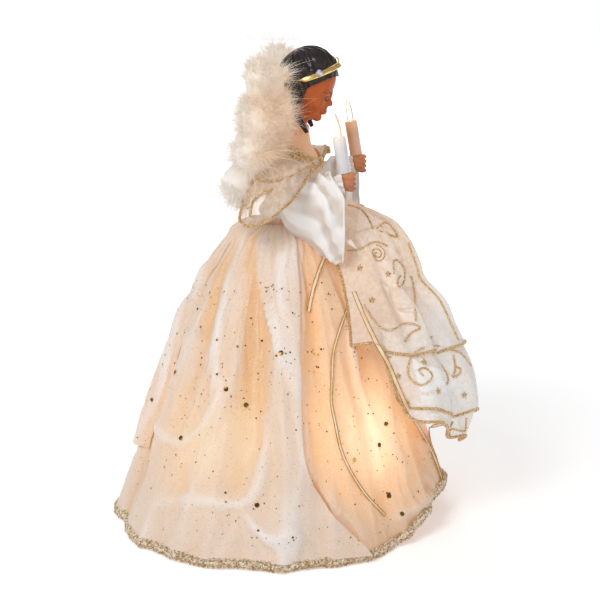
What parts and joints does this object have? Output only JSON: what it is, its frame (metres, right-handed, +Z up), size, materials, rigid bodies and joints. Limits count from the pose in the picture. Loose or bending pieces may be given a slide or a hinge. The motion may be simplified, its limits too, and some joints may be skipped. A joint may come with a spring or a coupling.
{
  "type": "angel tree topper",
  "caption": "Lighted angel tree topper: a dressed doll on a hollow cone, with feather wings, an organza cascade and a candle in each hand.",
  "frame": {"origin": "middle of the support cone's open foot, on the cone's axis", "axes": "+Z up along the cone, the doll faces -Y, its right hand is at -X"},
  "size_m": [0.2959, 0.3089, 0.3913],
  "materials": {
    "white_plastic": "satin moulded plastic",
    "cream_plastic": "plain plastic holders and wire cover",
    "candle_white": "smooth white tube",
    "brown_skin": "satin moulded plastic",
    "dark_hair": "glossy sculpted plastic",
    "gold": "bright gold",
    "gold_braid": "metallic gold braid",
    "satin": "cream satin",
    "glitter_cloth": "cream cloth with gold glitter",
    "white_satin": "white satin",
    "organza": "sheer organza with glitter lines",
    "feathers": "marabou feathers",
    "lilac_glass": "cut gem",
    "lamp_glass": "clear lamp glass"
  },
  "bodies": {
    "figure": {"inner_cone": "white_plastic", "light_string": "cream_plastic", "torso_form": "brown_skin", "bodice": "satin", "waist_sash": "satin", "neckline_braid": "gold_braid", "skirt": "satin", "overskirt": "glitter_cloth", "train": "glitter_cloth", "hem_braid": "gold_braid", "cascade_upper": "organza", "cascade_lower": "organza", "cascade_tail": "organza", "head": "brown_skin", "hair": "dark_hair", "tiara_band": "gold", "tiara_loop": "gold", "wing_yoke": "white_plastic", "skirt_lamp_holder_1": "cream_plastic", "skirt_lamp_1": "lamp_glass", "skirt_lamp_holder_2": "cream_plastic", "skirt_lamp_2": "lamp_glass", "skirt_lamp_holder_3": "cream_plastic", "skirt_lamp_3": "lamp_glass", "skirt_lamp_holder_4": "cream_plastic", "skirt_lamp_4": "lamp_glass", "skirt_lamp_holder_5": "cream_plastic", "skirt_lamp_5": "lamp_glass", "skirt_lamp_holder_6": "cream_plastic", "skirt_lamp_6": "lamp_glass", "skirt_lamp_holder_7": "cream_plastic", "skirt_lamp_7": "lamp_glass", "skirt_lamp_holder_8": "cream_plastic", "skirt_lamp_8": "lamp_glass", "shoulder_drape_right": "organza", "tiara_gem_right": "lilac_glass", "hair_curl_right": "dark_hair", "wing_card_right": "white_plastic", "wing_feathers_right": "feathers", "shoulder_drape_left": "organza", "tiara_gem_left": "lilac_glass", "hair_curl_left": "dark_hair", "wing_card_left": "white_plastic", "wing_feathers_left": "feathers"},
    "arm_right": {"arm_right": "white_plastic", "hand_right": "brown_skin", "sleeve_right": "white_satin", "candle_lead_right": "cream_plastic", "candle_tube_right": "candle_white"},
    "lamp_right": {"candle_lamp_plug_right": "cream_plastic", "candle_lamp_glass_right": "lamp_glass"},
    "arm_left": {"arm_left": "white_plastic", "hand_left": "brown_skin", "sleeve_left": "white_satin", "candle_lead_left": "cream_plastic", "candle_tube_left": "candle_white"},
    "lamp_left": {"candle_lamp_plug_left": "cream_plastic", "candle_lamp_glass_left": "lamp_glass"}
  },
  "joints": [
    {"name": "shoulder_right", "type": "hinge", "parent": "figure", "child": "arm_right", "pos_m": [-0.029, -0.012, 0.292], "axis": [-1, 0, 0], "range_deg": [-3, 12]},
    {"name": "lamp_pull_right", "type": "slide", "parent": "arm_right", "child": "lamp_right", "axis": [0, 0.1736, 0.9848], "range_m": [0, 0.012]},
    {"name": "shoulder_left", "type": "hinge", "parent": "figure", "child": "arm_left", "pos_m": [0.029, -0.012, 0.292], "axis": [-1, 0, 0], "range_deg": [-3, 12]},
    {"name": "lamp_pull_left", "type": "slide", "parent": "arm_left", "child": "lamp_left", "axis": [0, 0.1736, 0.9848], "range_m": [0, 0.012]}
  ]
}
